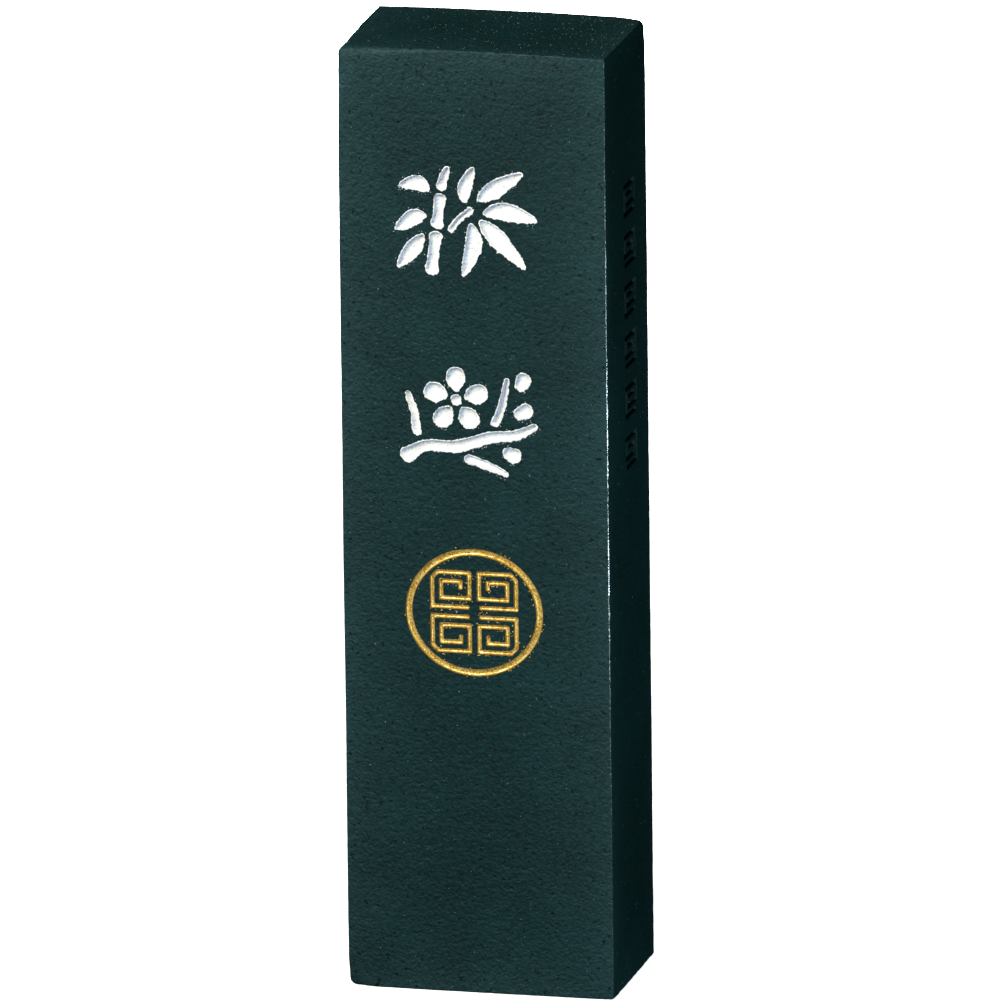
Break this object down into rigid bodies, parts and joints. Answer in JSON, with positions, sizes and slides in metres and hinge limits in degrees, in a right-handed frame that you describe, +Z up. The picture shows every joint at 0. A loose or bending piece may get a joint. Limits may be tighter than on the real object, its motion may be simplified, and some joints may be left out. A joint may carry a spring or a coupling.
{
  "type": "ink stick",
  "caption": "Rectangular moulded ink stick with rubbed edges, engraved ornaments filled with silver and gold pigment on the front and bare scrolls down one side.",
  "frame": {"origin": "middle of the grinding end, on the surface the stick stands on", "axes": "+Z up along the stick's length, -Y out of the decorated front, +X out of the side with the bare scrolls"},
  "size_m": [0.022, 0.014, 0.078],
  "materials": {
    "ink_cake": "dried soot and animal glue cake, teal black, finely grained, between matte and satin",
    "silver_pigment": "silver powder paint dried in the engraving, near white, satin, slightly ragged edges",
    "gold_pigment": "gold powder paint dried in the engraving, bright yellow, satin, slightly rough edges"
  },
  "bodies": {
    "root": {"ink_body": "ink_cake", "silver_culm_lower": "silver_pigment", "silver_culm_middle": "silver_pigment", "silver_culm_tip": "silver_pigment", "silver_leaf_low_left": "silver_pigment", "silver_leaf_mid_left": "silver_pigment", "silver_leaf_high_left": "silver_pigment", "silver_twig": "silver_pigment", "silver_leaf_upright": "silver_pigment", "silver_leaf_rising": "silver_pigment", "silver_leaf_level": "silver_pigment", "silver_leaf_falling": "silver_pigment", "silver_leaf_hanging": "silver_pigment", "silver_bough": "silver_pigment", "silver_spur_left": "silver_pigment", "silver_spur_right": "silver_pigment", "silver_spur_low": "silver_pigment", "silver_bud_top": "silver_pigment", "silver_bud_right": "silver_pigment", "silver_bud_low": "silver_pigment", "silver_petal_1": "silver_pigment", "silver_petal_2": "silver_pigment", "silver_petal_3": "silver_pigment", "silver_petal_4": "silver_pigment", "silver_petal_5": "silver_pigment", "silver_blossom_eye": "silver_pigment", "gold_ring": "gold_pigment", "gold_fret_upper_left": "gold_pigment", "gold_fret_upper_right": "gold_pigment", "gold_fret_lower_left": "gold_pigment", "gold_fret_lower_right": "gold_pigment"}
  },
  "joints": []
}
